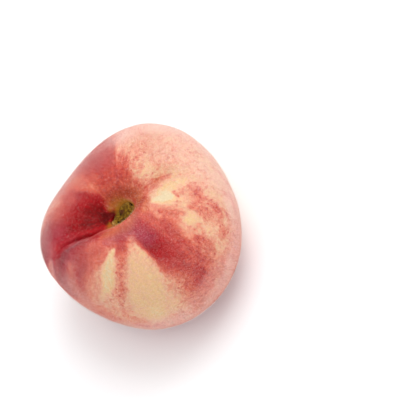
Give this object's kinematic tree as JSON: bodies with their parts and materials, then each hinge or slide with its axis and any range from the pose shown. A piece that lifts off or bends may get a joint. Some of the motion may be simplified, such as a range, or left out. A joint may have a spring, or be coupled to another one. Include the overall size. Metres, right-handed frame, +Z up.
{
  "type": "flat peach",
  "caption": "Whole flat peach with a deep stalk hollow, a suture and downy red and cream skin, lying on its base.",
  "frame": {"origin": "middle of the bounding box in plan, on the plane that the fruit rests on", "axes": "+Z up along the core towards the stalk, -X towards the suture"},
  "size_m": [0.072, 0.0742, 0.05],
  "materials": {
    "peach_skin": "downy fruit skin, crimson blush over cream",
    "dry_stalk": "dry, crumbly and matte"
  },
  "bodies": {
    "root": {"peach_fruit": "peach_skin", "stalk_remnant": "dry_stalk"}
  },
  "joints": []
}
